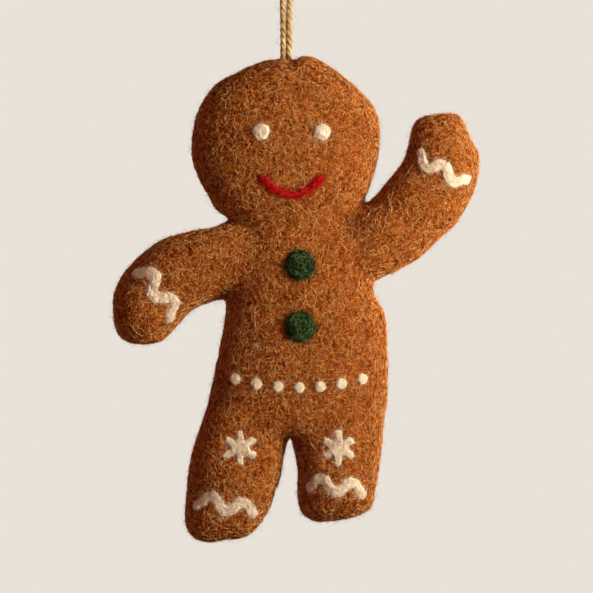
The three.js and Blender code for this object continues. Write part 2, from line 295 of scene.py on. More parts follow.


# Wool colours as dark, middle and light fibres; the brown lit tips are a paler copy of the brown wool,
# painted highlight for the fibres that stand on top in the light, their tones still varying at random
wools = {
    "brownWool": (colour(46, 6, 1), colour(167, 56, 7), colour(252, 169, 76)),
    "brownLitTips": (colour(120, 37, 6), colour(216, 115, 40), colour(255, 214, 140)),
    "creamWool": (colour(226, 194, 154), colour(254, 238, 209), colour(255, 247, 228)),
    "redWool": (colour(96, 2, 4), colour(190, 10, 18), colour(228, 54, 48)),
    "greenWool": (colour(4, 8, 2), colour(14, 31, 8), colour(108, 134, 80)),
    "coreWool": (colour(176, 158, 130), colour(217, 203, 178), colour(238, 228, 208)),
    "jute": (colour(166, 126, 68), colour(221, 191, 136), colour(243, 226, 188)),
}
feltBump = 0.2 * mm


def surfaceMaterial(wool, fibreScale, bump):
    dark, middle, light = wools[wool]
    material, tree, shader = newMaterial(wool + "Felt", "felt", light)
    felt = node(tree, "ShaderNodeGroup", node_tree=tangleGroup)
    for socket, value in (("Fibre Scale", fibreScale), ("Dark", dark), ("Middle", middle), ("Light", light)):
        felt.inputs[socket].default_value = value
    raised = node(tree, "ShaderNodeBump", {
        "Height": felt.outputs["Height"], "Strength": bump, "Distance": feltBump,
    })
    tree.links.new(felt.outputs["Colour"], shader.inputs["Base Color"])
    tree.links.new(raised.outputs[0], shader.inputs["Normal"])
    return material


def fibreMaterial(wool):
    dark, middle, light = wools[wool]
    material, tree, shader = newMaterial(wool + "Fibre", "fibre", light)
    strand = node(tree, "ShaderNodeGroup", node_tree=strandGroup)
    for socket, value in (("Dark", dark), ("Middle", middle), ("Light", light)):
        strand.inputs[socket].default_value = value
    tree.links.new(strand.outputs["Colour"], shader.inputs["Base Color"])
    return material


# Loose fibres: closed three-sided strands with pointed ends, many in one mesh
def linkFibres(name, centres, ups, radii, tones, material):
    count, rings, _ = centres.shape
    along = np.gradient(centres, axis=1)
    along /= np.linalg.norm(along, axis=2, keepdims=True) + tiny
    side = np.cross(along, ups)
    side /= np.linalg.norm(side, axis=2, keepdims=True) + tiny
    up = np.cross(side, along)
    corners = []
    for corner in range(3):
        angle = math.pi / 2 - corner * math.tau / 3
        corners.append(centres + radii[..., None] * (math.cos(angle) * side + math.sin(angle) * up))
    rims = np.stack(corners, axis=2)[:, 1:-1].reshape(count, -1, 3)
    points = np.concatenate([centres[:, :1], rims, centres[:, -1:]], axis=1)
    tip = points.shape[1] - 1
    oneStrand = []
    for corner in range(3):
        a, b = 1 + corner, 1 + (corner + 1) % 3
        oneStrand += [(0, b, a), (tip - 4 + a, tip - 4 + b, tip)]
        for step in range(0, 3 * (rings - 3), 3):
            oneStrand += [(a + step, b + step, b + step + 3), (a + step, b + step + 3, a + step + 3)]
    faces = (np.array(oneStrand)[None] + (np.arange(count) * (tip + 1))[:, None, None]).reshape(-1)
    mesh = bpy.data.meshes.new(name)
    mesh.vertices.add(count * (tip + 1))
    mesh.vertices.foreach_set("co", points.astype(np.float32).ravel())
    mesh.loops.add(len(faces))
    mesh.loops.foreach_set("vertex_index", faces.astype(np.int32))
    mesh.polygons.add(len(faces) // 3)
    mesh.polygons.foreach_set("loop_start", np.arange(0, len(faces), 3, dtype=np.int32))
    mesh.update(calc_edges=True)
    share = np.linspace(0.02, 0.98, rings)  # stays off the map's edges
    spots = np.zeros((count, tip + 1, 2), np.float32)
    spots[..., 0] = tones[:, None]
    spots[..., 1] = np.concatenate([share[:1], np.repeat(share[1:-1], 3), share[-1:]])
    mesh.uv_layers.new(name="OFBake").data.foreach_set("uv", spots.reshape(-1, 2)[faces].ravel())
    mesh.shade_smooth()
    mesh.materials.append(material)
    obj = bpy.data.objects.new(name, mesh)
    scene.collection.objects.link(obj)
    return obj


# Random places on a mesh, spread evenly over its faces
def scatter(mesh, count):
    mesh.calc_loop_triangles()
    corners = np.zeros(len(mesh.loop_triangles) * 3, np.int32)
    mesh.loop_triangles.foreach_get("vertices", corners)
    points = np.zeros(len(mesh.vertices) * 3)
    mesh.vertices.foreach_get("co", points)
    tri = points.reshape(-1, 3)[corners.reshape(-1, 3)]
    area = np.linalg.norm(np.cross(tri[:, 1] - tri[:, 0], tri[:, 2] - tri[:, 0]), axis=1)
    evenly = (np.arange(count) + rng.random(count)) / count * area.sum()
    picked = np.minimum(np.searchsorted(np.cumsum(area), evenly), len(area) - 1)
    a, b = np.sqrt(rng.random(count)), rng.random(count)
    shares = ((1 - a)[:, None], (a * (1 - b))[:, None], (a * b)[:, None])
    return tri[picked, 0] * shares[0] + tri[picked, 1] * shares[1] + tri[picked, 2] * shares[2]


def nearest(tree, points):
    hits = [tree.find_nearest(point) for point in points]
    return np.array([hit[0] for hit in hits]), np.array([hit[1] for hit in hits])


# Walks fibres over a surface from their roots, turning a little at each step
crimp = {"pace": (0.7, 1.6), "stray": 0.4}  # waves as a fibre goes, and the unevenness of its turns


def walk(tree, roots, headings, lengths, steps, curl):
    places, normals = nearest(tree, roots)
    centres, ups = [places], [normals]
    phase = rng.uniform(0, math.tau, len(roots))  # where in its wave a fibre starts
    pace = rng.uniform(*crimp["pace"], len(roots))
    for step in range(steps):
        headings = headings - normals * (headings * normals).sum(1, keepdims=True)
        headings /= np.linalg.norm(headings, axis=1, keepdims=True) + tiny
        stray = rng.normal(0, curl * crimp["stray"], len(roots))
        turn = (curl * np.sin(phase + pace * step) + stray)[:, None]
        headings = headings * np.cos(turn) + np.cross(normals, headings) * np.sin(turn)
        places, normals = nearest(tree, places + headings * (lengths / steps)[:, None])
        centres.append(places)
        ups.append(normals)
    return np.stack(centres, 1), np.stack(ups, 1)


# Twine: three plies twisted left over right, along the loop's route from the knot up and over and down again
twine = {
    "leg": (
        (0.77, -39.7), (0.74, -38), (0.73, -35), (0.73, -31), (0.755, -26.5), (0.89, -22), (1.26, -17.5),
        (1.92, -13), (2.72, -8.8), (3.25, -5.2), (3.2, -2.2), (2.2, -0.1),
    ),
    "top": (0, 0.75),
    "diameter": 1.5 * mm,
    "plies": 3,
    "plyRadius": 0.45 * mm,
    "plyOffset": 0.37 * mm,
    "lead": 5.2 * mm,
    "ringStep": 0.26 * mm,
    "sides": 8,
    "streakShift": 200,  # sets the plies' streaks apart
    "blendFrom": -20 * mm,
    "blendTo": -38 * mm,
}


def smoothRoute(points, step):
    curve = bpy.data.curves.new("route", "CURVE")
    curve.dimensions = "3D"
    curve.resolution_u = 24
    spline = curve.splines.new("NURBS")
    spline.points.add(len(points) - 1)
    for point, place in zip(spline.points, points):
        point.co = (*place, 1)
    spline.use_endpoint_u = True
    spline.order_u = 4
    holder = bpy.data.objects.new("route", curve)
    line = np.array([v.co for v in holder.to_mesh().vertices])
    holder.to_mesh_clear()
    bpy.data.objects.remove(holder)
    bpy.data.curves.remove(curve)
    lengths = np.concatenate([[0], np.cumsum(np.linalg.norm(np.diff(line, axis=0), axis=1))])
    stops = np.linspace(0, lengths[-1], int(lengths[-1] / step) + 1)
    return np.stack([np.interp(stops, lengths, line[:, axis]) for axis in range(3)], 1), stops


# Frames along a route that turn as little as they can
def routeFrames(line):
    along = np.gradient(line, axis=0)
    along /= np.linalg.norm(along, axis=1, keepdims=True)
    first = np.cross(along[0], (0, 1, 0) if abs(along[0][1]) < 0.9 else (1, 0, 0))
    sides = [first / np.linalg.norm(first)]
    for tangent in along[1:]:
        side = sides[-1] - tangent * (sides[-1] @ tangent)
        sides.append(side / np.linalg.norm(side))
    sides = np.array(sides)
    return along, sides, np.cross(along, sides)


def twistedCord(bm, line, stops):
    plies = twine["plies"]
    along, sides, ups = routeFrames(line)
    yarnMap = bm.loops.layers.uv.new("yarn")
    spots = {}
    for ply in range(plies):
        angles = -math.tau * stops / twine["lead"] + math.tau * ply / plies
        out = sides * np.cos(angles)[:, None] + ups * np.sin(angles)[:, None]
        centres = line + out * twine["plyOffset"]
        plyAlong = np.gradient(centres, axis=0)
        ring = None
        for i, centre in enumerate(centres):
            zAxis = Vector(plyAlong[i]).normalized()
            xAxis = (Vector(out[i]) - zAxis * zAxis.dot(Vector(out[i]))).normalized()
            turn = Matrix((xAxis, zAxis.cross(xAxis), zAxis)).transposed().to_4x4()
            place = Matrix.Translation(centre) @ turn
            if ring is None:
                verts = bmesh.ops.create_circle(
                    bm, cap_ends=True, segments=twine["sides"], radius=twine["plyRadius"], matrix=place,
                )["verts"]
                ring = [e for e in {e for v in verts for e in v.link_edges} if len(e.link_faces) == 1]
            else:
                made = bmesh.ops.extrude_edge_only(bm, edges=ring)["geom"]
                ring = [g for g in made if isinstance(g, bmesh.types.BMEdge) and len(g.link_faces) == 1]
                verts = [g for g in made if isinstance(g, bmesh.types.BMVert)]
                bmesh.ops.transform(bm, matrix=place @ last.inverted(), verts=verts)
            for vert in verts:
                local = place.inverted() @ vert.co
                around = math.atan2(local.y, local.x) / math.tau + 0.5
                spots[vert] = (around, stops[i] / mm + twine["streakShift"] * ply)
            last = place
        bmesh.ops.edgeloop_fill(bm, edges=ring)
    bmesh.ops.recalc_face_normals(bm, faces=bm.faces)
    for face in bm.faces:
        turns = [spots[loop.vert][0] for loop in face.loops]
        wraps = max(turns) - min(turns) > 0.5
        for loop, turn in zip(face.loops, turns):
            loop[yarnMap].uv = (turn + 1 if wraps and turn < 0.5 else turn, spots[loop.vert][1])


def buildTwine():
    legUp = [(-x * mm, 0, z * mm) for x, z in twine["leg"]]
    legDown = [(x * mm, 0, z * mm) for x, z in reversed(twine["leg"])]
    route = [*legUp, (twine["top"][0], 0, twine["top"][1] * mm), *legDown]
    line, stops = smoothRoute(route, twine["ringStep"])
    bm = bmesh.new()
    twistedCord(bm, line, stops)
    obj = linkMesh("twine_loop", bm, yarnMaterial())
    return obj, line, stops


# Jute yarn: streaks along each ply, on the ply's own map
yarn = {
    "streaks": ((9.0, 0.35), (4.0, 0.12)),  # across and along a ply, fine ones and broad ones
    "lean": 0.12,
    "fine": (0.38, 3.2),  # where the streaks start, and their contrast
    "broad": (0.5, 4.0),
    "bump": (0.8, 0.15 * mm),
}


def streakMask(tree, streak, start, contrast):
    return mathNode(tree, "MULTIPLY", mathNode(tree, "SUBTRACT", streak, start), contrast, clamp=True)


def yarnMaterial():
    dark, middle, light = wools["jute"]
    material, tree, shader = newMaterial("juteYarn", "yarn", light)
    spot = node(tree, "ShaderNodeUVMap", uv_map="yarn").outputs[0]
    streaks = []
    for across, lengthwise in yarn["streaks"]:
        stretched = node(tree, "ShaderNodeMapping", {
            "Vector": spot, "Scale": (across, lengthwise, 1), "Rotation": (0, 0, yarn["lean"]),
        })
        streaks.append(node(tree, "ShaderNodeTexNoise", {
            "Vector": stretched.outputs[0], "Scale": 1.0, "Detail": 3.0, "Distortion": 0.3,
        }).outputs[0])
    base = mixColour(tree, streakMask(tree, streaks[0], *yarn["fine"]), dark, middle)
    streaked = mixColour(tree, streakMask(tree, streaks[1], *yarn["broad"]), base, light)
    tree.links.new(streaked, shader.inputs["Base Color"])
    strength, depth = yarn["bump"]
    raised = node(tree, "ShaderNodeBump", {"Height": streaks[0], "Strength": strength, "Distance": depth})
    tree.links.new(raised.outputs[0], shader.inputs["Normal"])
    return material


# Short hairs that stand off the twine
twineHairs = {
    "count": 420,
    "length": (1.2 * mm, 4.0 * mm),
    "radius": 0.028 * mm,
    "tip": 0.5,  # share of the radius
    "steps": 4,
    "spread": 0.45,
    "stray": 0.2,
    "bend": 0.16,
    "rootDepth": 0.42,  # share of the twine's diameter, from its middle
    "bareRings": 4,  # at the twine's ends
    "reach": 4.5 * mm,
    "lowest": -37.5 * mm,
}


def buildTwineHairs(line):
    count, steps, bare = twineHairs["count"], twineHairs["steps"], twineHairs["bareRings"]
    along, sides, ups = routeFrames(line)
    picked = rng.integers(bare, len(line) - bare, count)
    angles = rng.random(count) * math.tau
    out = sides[picked] * np.cos(angles)[:, None] + ups[picked] * np.sin(angles)[:, None]
    heading = along[picked] * rng.choice((-1, 1), count)[:, None] + out * twineHairs["spread"]
    heading += rng.normal(0, twineHairs["stray"], (count, 3))
    heading /= np.linalg.norm(heading, axis=1, keepdims=True)
    places = line[picked] + out * twine["diameter"] * twineHairs["rootDepth"]
    lengths = rng.uniform(*twineHairs["length"], count)
    centres = [places]
    for _ in range(steps):
        heading += rng.normal(0, twineHairs["bend"], (count, 3))
        heading /= np.linalg.norm(heading, axis=1, keepdims=True)
        places = places + heading * (lengths / steps)[:, None]
        centres.append(places)
    centres = np.stack(centres, 1)
    near = np.linalg.norm(centres - line[picked][:, None], axis=2).max(1) < twineHairs["reach"]
    aboveFelt = centres[..., 2].min(1) > twineHairs["lowest"]
    keep = near & aboveFelt
    taper = np.linspace(1, twineHairs["tip"], steps + 1)
    radii = np.full((keep.sum(), steps + 1), twineHairs["radius"]) * taper
    ups = np.repeat(out[keep][:, None], steps + 1, 1)
    return linkFibres("twine_hairs", centres[keep], ups, radii, rng.random(keep.sum()), fibreMaterial("jute"))


# Overhand knot that holds the twine in the head
knotForm = {
    "centre": -41.5 * mm,
    "reach": 0.58 * mm,
    "height": 0.75 * mm,
    "points": 96,
    "open": 0.25,  # radians left out at each end
    "pocket": 3.1 * mm,  # its room in the head's core
}


def buildKnot():
    bm = bmesh.new()
    t = np.linspace(knotForm["open"], math.tau - knotForm["open"], knotForm["points"])
    line = np.stack([
        (np.sin(t) + 2 * np.sin(2 * t)) * knotForm["reach"],
        (np.cos(t) - 2 * np.cos(2 * t)) * knotForm["reach"],
        -np.sin(3 * t) * knotForm["height"] + knotForm["centre"],
    ], 1)
    stops = np.concatenate([[0], np.cumsum(np.linalg.norm(np.diff(line, axis=0), axis=1))])
    twistedCord(bm, line, stops)
    return linkMesh("twine_knot", bm, bpy.data.materials["juteYarn"])


# Skin: all the coats as one felted surface, smoothed, then parted again at the coats
skinForm = {
    "puff": 0.3 * mm,  # closes the gaps between the coats
    "voxel": 0.75 * mm,
    "smoothRounds": 60,
    "regrow": 0.12 * mm,  # what the smoothing took away
    "lumps": ((9 * mm, 0.45 * mm), (3.5 * mm, 0.1 * mm), (1.4 * mm, 0.06 * mm)),  # size and height
    "shell": 2.0 * mm,
    "creaseAngle": 0.9,
    "twineHole": (2.5 * mm, 1.7 * mm),  # half its width and depth, room for the twine to lean
    "grooveReach": 1.0 * mm,  # the felt sinks beside the trim
    "grooveDepth": 0.25 * mm,
}


# Pushes that give the outline its hand-made unevenness: x, z, reach, then the push along x and z, in mm
nudges = (
    (46.5, -56.0, 7, -1.7, -1.1), (38.5, -51.0, 8, 0, -0.8),  # raised hand
    (28.0, -91.8, 8, 0.3, 1.1), (22.7, -95.8, 6, -2.0, 0.9), (38.0, -84.5, 8, -0.3, 0.8),  # raised arm
    (-43.5, -105.0, 8, 0.7, 0), (-36.5, -109.5, 7, 0, 0.4), (-36.0, -87.0, 8, 0.2, -0.5),  # lowered hand
    (-24.0, -80.5, 9, 0, -0.6), (-18.0, -80.3, 5, 0, -0.7), (-15.0, -98.8, 5, 0.6, 0.9),  # lowered arm
    (-6.5, -155.5, 7, -0.7, 0.9), (-22.0, -157.8, 7, -0.5, -0.4), (-13.0, -158.5, 6, 0, 0.6),  # slanted foot
    (6.2, -152.5, 6, -0.7, -0.4), (15.5, -154.0, 8, 0, 1.1), (21.5, -149.5, 4, 0.4, -0.6),  # straight foot
    (2.5, -143.5, 7, 0.8, 0), (1.5, -137.6, 7.5, 0, 4.0),  # between the legs
    (24.0, -137.0, 9, -0.5, 0), (-21.5, -129.8, 8, 0.8, 0),  # the legs' outer sides
    (-23.8, -62.0, 8, -0.5, 0), (23.0, -65.5, 9, -0.5, 0), (21.7, -51.5, 7, 0.5, 0),  # cheeks
    (17.5, -44.0, 7, -0.7, -0.5), (12.5, -40.0, 7, 0, -0.7), (5.5, -38.0, 6, 0, 0.7),  # top of the head
    (-5.5, -38.5, 6, 0, -0.5), (-12.0, -41.0, 8, 0.2, -0.8),
    (-14.0, -78.8, 5, 0.4, 0), (-16.5, -75.5, 4, -0.7, -0.3), (20.7, -72.5, 5, -0.6, -1.4),  # neck
)
# Where the twine pulls the head in, in mm
dimple = {"x": 1.5, "top": -37.5, "foot": -45.0, "reach": 2.2, "depth": 1.3, "slope": 1.5}


def nudge(place):
    moved = Vector()
    for x, z, reach, pushX, pushZ in nudges:
        far = math.hypot(place.x / mm - x, place.z / mm - z) / reach
        if far < 1:
            moved += Vector((pushX, 0, pushZ)) * (1 - far * far) ** 2
    return moved * mm


def dimpleDepth(place):
    drop = (place.z / mm - dimple["foot"]) / (dimple["top"] - dimple["foot"])
    far = math.hypot(place.x / mm - dimple["x"], max(0.0, place.y / mm)) / dimple["reach"]
    if drop < 0 or far > 1:
        return 0.0
    return dimple["depth"] * min(drop, 1) ** dimple["slope"] * (1 - far * far) ** 2 * mm


def buildSkin():
    bm = mergedCopy(*[limb + part for limb in limbs for part in ("_coat", "_core")], "stopper_knot")
    puff(bm, skinForm["puff"])
    bm = remeshed(bm, skinForm["voxel"])
    keepLargest(bm)
    relax(bm, skinForm["smoothRounds"])
    puff(bm, skinForm["regrow"])
    for vert in bm.verts:
        vert.co += nudge(vert.co)
    bm.normal_update()
    for vert in bm.verts:
        rise = sum(noise.noise(vert.co / size) * height for size, height in skinForm["lumps"])
        vert.co += vert.normal * (rise - dimpleDepth(vert.co))
    bm.normal_update()
    return bm


# The solid coats' faces to search, and which coat each belongs to
def coatTree():
    points, faces, owners = [], [], []
    for limb in limbs:
        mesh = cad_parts[limb + "_coat"].data
        base = len(points)
        points += [vert.co for vert in mesh.vertices]
        faces += [[base + i for i in face.vertices] for face in mesh.polygons]
        owners += [limb] * len(mesh.polygons)
    return BVHTree.FromPolygons(points, faces), owners


# Whether a place on the felt lies under a trim
def covered(place, trimTree):
    foot, normal = trimTree.find_nearest(place, trimForm["coverReach"])[:2]
    return foot is not None and (Vector(place) - foot).dot(normal) < 0


# The felt that shows and the trim on it, to search
def dressedSurface(skin, trimTree, trimBms):
    bare = skin.copy()
    hidden = [face for face in bare.faces if covered(face.calc_center_median(), trimTree)]
    bmesh.ops.delete(bare, geom=hidden, context="FACES")
    return joinedTree(bare, *trimBms)


def joinedTree(*parts):
    points, faces = [], []
    for bm in parts:
        base = len(points)
        bm.verts.index_update()
        points += [vert.co.copy() for vert in bm.verts]
        faces += [[base + vert.index for vert in face.verts] for face in bm.faces]
    return BVHTree.FromPolygons(points, faces)


def ownersOf(bm):
    tree, owners = coatTree()
    return [owners[tree.find_nearest(face.calc_center_median())[2]] for face in bm.faces]


def sinkBesideTrim(bm, trimTree):
    reach = skinForm["grooveReach"]
    for vert in bm.verts:
        hit = trimTree.find_nearest(vert.co, reach)
        if hit[0] is not None:
            vert.co -= vert.normal * skinForm["grooveDepth"] * (1 - hit[3] / reach) ** 2
    bm.normal_update()


def buildCoats(bm, owners):
    coats = {}
    for limb in limbs:
        part = bm.copy()
        part.faces.ensure_lookup_table()
        others = [
            face for face, owner in zip(part.faces, owners)
            if owner != limb or inTwineHole(face.calc_center_median())
        ]
        bmesh.ops.delete(part, geom=others, context="FACES")
        roots = bpy.data.meshes.new(limb + "Roots")
        part.to_mesh(roots)
        lined = bmesh.ops.extrude_face_region(part, geom=list(part.faces), use_keep_orig=True)["geom"]
        part.normal_update()
        for vert in [g for g in lined if isinstance(g, bmesh.types.BMVert)]:
            vert.co -= vert.normal * skinForm["shell"]
        bmesh.ops.recalc_face_normals(part, faces=part.faces)
        for edge in part.edges:
            edge.smooth = edge.calc_face_angle(0) < skinForm["creaseAngle"]
        coats[limb] = (linkMesh(limb + "_felt", part, materials["brownWool"]), roots)
    return coats


def inTwineHole(place):
    width, depth = skinForm["twineHole"]
    return math.hypot(place.x / width, place.y / depth) < 1 and place.z > knotForm["centre"]


# Room for the knot in the head's core
def clearKnot(bm):
    centre = Vector((0, 0, knotForm["centre"]))
    for vert in bm.verts:
        out = vert.co - centre
        if out.length < knotForm["pocket"]:
            vert.co = centre + out.normalized() * knotForm["pocket"]


# Cores of plain wool under the coats
coreForm = {"voxel": 1.0 * mm, "smoothRounds": 12}


def buildCores():
    for limb in limbs:
        bm = remeshed(mergedCopy(limb + "_core"), coreForm["voxel"])
        keepLargest(bm)
        relax(bm, coreForm["smoothRounds"])
        clearKnot(bm)
        core = linkMesh(limb + "_stuffing", bm, materials["coreWool"])
        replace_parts(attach(core, "figure"), limb + "_core")


# Trim of roving: strands and domes that are felted onto the skin
trimForm = {
    "puff": 0.12 * mm,
    "voxel": 0.24 * mm,
    "smoothRounds": 9,
    "flat": {"button": 0.7, "eye": 0.7, "dot": 0.65, "smile": 0.6},  # share of its height that a trim keeps
    "flatOthers": 0.38,
    "ragged": ((1.3 * mm, 0.32 * mm), (0.6 * mm, 0.2 * mm)),  # size and depth of the uneven edges
    "raggedDome": {"button": 1.2, "eye": 0.35, "dot": 0.5},  # share of that on domes
    "coverReach": 2.5 * mm,  # how near to a trim the felt may lie under it
    "sink": 0.05 * mm,  # the whole trim
    "rootHeight": 0.3 * mm,  # what lies lower than this is drawn into the felt
    "rootSink": 0.4 * mm,
    "rootShare": 0.55,  # share of a trim's area that shows
    "facing": 0.2,  # no fibres where a normal points further to the back than this
    "domeStray": 0.4 * mm,
    "strandStray": 0.12,
    "strandReach": 2.0 * mm,  # how far round a root the strand's run is measured
}
trims = {
    "right_eye": "creamWool", "left_eye": "creamWool", "smile": "redWool",
    "upper_button": "greenWool", "lower_button": "greenWool",
    **{limb + "_cuff": "creamWool" for limb in limbs[2:]},
    **{limb + "_snowflake": "creamWool" for limb in limbs[4:]},
    **{f"belt_dot_{dot}": "creamWool" for dot in range(1, 8)},
}
domes = ("eye", "button", "dot")
buttonCoil = {"pitch": 1.35 * mm, "depth": 0.2 * mm}


def isDome(name):
    return any(word in name for word in domes)


def shareFor(name, shares, others):
    return next((share for word, share in shares.items() if word in name), others)


def trimMiddle(name):
    low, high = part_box(name)
    return (low + high) / 2


def buildTrim(name, skinTree, solidTree):
    bm = mergedCopy(name)
    puff(bm, trimForm["puff"])
    bm = remeshed(bm, trimForm["voxel"])
    keepLargest(bm)
    relax(bm, trimForm["smoothRounds"])
    if "button" in name:
        coilButton(bm, name, skinTree)
    keep = shareFor(name, trimForm["flat"], trimForm["flatOthers"])
    raggedness = shareFor(name, trimForm["raggedDome"], 1.0)
    for vert in bm.verts:
        solidFoot, solidNormal = solidTree.find_nearest(vert.co)[:2]
        height = (vert.co - solidFoot).dot(solidNormal) * keep
        ragged = Vector()
        for size, reach in trimForm["ragged"]:
            ragged += noise.noise_vector(vert.co / size) * reach
        foot, normal = skinTree.find_nearest(vert.co + ragged * raggedness)[:2]
        root = max(0.0, 1 - height / trimForm["rootHeight"])
        vert.co = foot + normal * (height - trimForm["sink"] - trimForm["rootSink"] * root)
    relax(bm, 1)
    bm.normal_update()
    return bm


# A button is a strand wound into a flat spiral
def coilButton(bm, name, skinTree):
    middle = trimMiddle(name)
    axis = skinTree.find_nearest(middle)[1]
    side = axis.cross((0, 0, 1)).normalized()
    up = axis.cross(side)
    bm.normal_update()
    for vert in bm.verts:
        flat = vert.co - middle
        x, y = flat.dot(side), flat.dot(up)
        wave = math.cos(math.atan2(y, x) + math.tau * math.hypot(x, y) / buttonCoil["pitch"])
        facing = max(0.0, vert.normal.dot(axis))
        vert.co += vert.normal * buttonCoil["depth"] * wave * facing


# Fibres by kind: how many to a square millimetre, and their sizes in mm
fibreKinds = {
    "curls": {
        "perMm2": 2.5, "length": (1.3, 2.9), "radius": (0.06, 0.09), "steps": 3, "curl": 0.5,
        "sunk": -0.12, "lift": (0.05, 0.34), "tones": (0.0, 1.0),
    },
    "glints": {
        "perMm2": 2.0, "length": (1.1, 2.5), "radius": (0.045, 0.07), "steps": 3, "curl": 0.5,
        "sunk": -0.1, "lift": (0.2, 0.45), "tones": (0.1, 1.0),
    },
    "wisps": {
        "perMm2": 0.1, "length": (4.0, 9.0), "radius": (0.038, 0.055), "steps": 7, "curl": 0.32,
        "sunk": -0.05, "lift": (0.25, 0.5), "tones": (0.4, 1.0),
    },
    "fuzz": {
        "perMm2": 2.6, "length": (0.8, 1.9), "radius": (0.032, 0.046), "steps": 2, "curl": 0.6,
        "sunk": -0.05, "lift": (0.2, 1.0), "tones": (0.1, 1.0),
    },
    "hairs": {
        "perMm2": 0.3, "length": (2.0, 4.5), "radius": (0.028, 0.04), "steps": 4, "curl": 0.45,
        "sunk": -0.05, "lift": (0.5, 2.0), "tones": (0.3, 1.0),
    },
    "trim": {
        "perMm2": 8.0, "length": (1.2, 3.0), "radius": (0.045, 0.07), "steps": 4, "curl": 0.4,
        "sunk": -0.08, "lift": (0.04, 0.26), "tones": (0.0, 1.0),
    },
    "trimFuzz": {
        "perMm2": 8.0, "length": (0.6, 1.6), "radius": (0.035, 0.05), "steps": 3, "curl": 0.7,
        "sunk": -0.05, "lift": (0.08, 0.34), "tones": (0.25, 1.0),
    },
    "fray": {
        "perMm2": 22.0, "length": (0.4, 1.4), "radius": (0.035, 0.055), "steps": 3, "curl": 0.5,
        "lift": (0.02, 0.25), "tones": (0.3, 1.0), "edge": 0.7, "domeShare": 0.5, "stray": 0.6,
    },
}
standing = ("fuzz", "hairs", "trimFuzz")  # kinds that rise towards their tips; the others lie down again
straying = ("wisps", "fuzz", "hairs")  # kinds that lie over the trim's edges too
# Powers of the rise and the arch, widths at a tip and at both ends, and how evenly the tones spread
fibreShape = {"rise": 1.4, "arch": 0.8, "tip": 0.5, "ends": 0.6, "toneSpread": 0.6}
mostFaces = 190000  # in one piece


def meshArea(mesh):
    return sum(face.area for face in mesh.polygons) / mm**2


def growFibres(name, kind, roots, tree, material, headings=None, rises=None):
    form = fibreKinds[kind]
    count = len(roots)
    if headings is None:
        headings = rng.normal(0, 1, (count, 3))
    lengths = rng.uniform(*form["length"], count) * mm
    centres, ups = walk(tree, roots, headings, lengths, form["steps"], form["curl"])
    share = np.linspace(0, 1, form["steps"] + 1)
    lift = rng.uniform(*form["lift"], count)[:, None]
    arch = np.sin(math.pi * share)
    taper = np.linspace(1, fibreShape["tip"], len(share))
    if rises is not None:
        height = rises[:, None] / mm * (1 - share) + lift * share
    elif kind in standing:
        height = form["sunk"] + (lift - form["sunk"]) * share ** fibreShape["rise"]
    else:
        height = form["sunk"] + (lift - form["sunk"]) * arch ** fibreShape["arch"]
        taper = fibreShape["ends"] + (1 - fibreShape["ends"]) * arch
    centres = centres + ups * height[..., None] * mm
    radii = rng.uniform(*form["radius"], count)[:, None] * taper * mm
    dull, bright = form["tones"]
    tones = dull + (bright - dull) * rng.beta(fibreShape["toneSpread"], fibreShape["toneSpread"], count)
    return linkFibres(name, centres, ups, radii, tones, material)


def growFelt(limb, roots, skinTree, dressedTree, trimTree):
    for kind in ("curls", "glints", "wisps", "fuzz", "hairs"):
        count = int(meshArea(roots) * fibreKinds[kind]["perMm2"])
        facesEach = 6 * (fibreKinds[kind]["steps"] - 1)
        batches = math.ceil(count * facesEach / mostFaces)
        tree = dressedTree if kind in straying else skinTree
        # All but the curls take the paler lit copy of the brown wool: painted highlight on the fibres on top
        material = fibreMaterials["brownWool" if kind == "curls" else "brownLitTips"]
        for batch in range(batches):
            name = f"{limb}_{kind}" + (f"_{batch + 1}" if batches > 1 else "")
            spots = [spot for spot in scatter(roots, count // batches) if not covered(spot, trimTree)]
            piece = growFibres(name, kind, np.array(spots), tree, material)
            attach(piece, "figure")


# A trim's fibres run along its strand, or round the middle of a dome
def trimHeadings(name, mesh, roots, tree):
    normals = nearest(tree, roots)[1]
    if isDome(name):
        circling = np.cross(normals, roots - np.array(trimMiddle(name)))
        return circling + rng.normal(0, trimForm["domeStray"], roots.shape)
    points = np.array([vert.co for vert in mesh.vertices])
    finder = KDTree(len(points))
    for i, point in enumerate(points):
        finder.insert(point, i)
    finder.balance()
    headings = []
    for root in roots:
        around = points[[hit[1] for hit in finder.find_range(root, trimForm["strandReach"])]]
        headings.append(np.linalg.eigh(np.cov(around.T))[1][:, -1])
    headings = np.array(headings) * rng.choice((-1, 1), len(roots))[:, None]
    return headings + rng.normal(0, trimForm["strandStray"], roots.shape)


# Fibres that fray from a trim's edge out over the felt
def growFray(name, piece, tree, skinTree, wool):
    form = fibreKinds["fray"]
    share = form["domeShare"] if isDome(name) else 1.0
    roots = scatter(piece.data, int(meshArea(piece.data) * form["perMm2"] * share))
    sides = nearest(tree, roots)[1]
    feet, ups = nearest(skinTree, roots)
    rises = ((roots - feet) * ups).sum(1)
    out = sides - ups * (sides * ups).sum(1, keepdims=True)
    steep = np.linalg.norm(out, axis=1) > form["edge"]
    edge = steep & (rises > 0)
    headings = out[edge] + rng.normal(0, form["stray"], (edge.sum(), 3))
    material = fibreMaterials[wool]
    grown = growFibres(name + "_fray", "fray", roots[edge], skinTree, material, headings, rises[edge])
    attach(grown, "figure")


def growTrim(name, piece, tree, dressedTree, wool):
    for kind in ("trim", "trimFuzz"):
        area = meshArea(piece.data) * trimForm["rootShare"]
        roots = scatter(piece.data, int(area * fibreKinds[kind]["perMm2"]))
        roots = roots[nearest(tree, roots)[1][:, 1] < trimForm["facing"]]
        headings = trimHeadings(name, piece.data, roots, tree) if kind == "trim" else None
        ground = tree if kind == "trim" else dressedTree  # the fuzz strays onto the felt
        grown = growFibres(f"{name}_{kind}", kind, roots, ground, fibreMaterials[wool], headings)
        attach(grown, "figure")


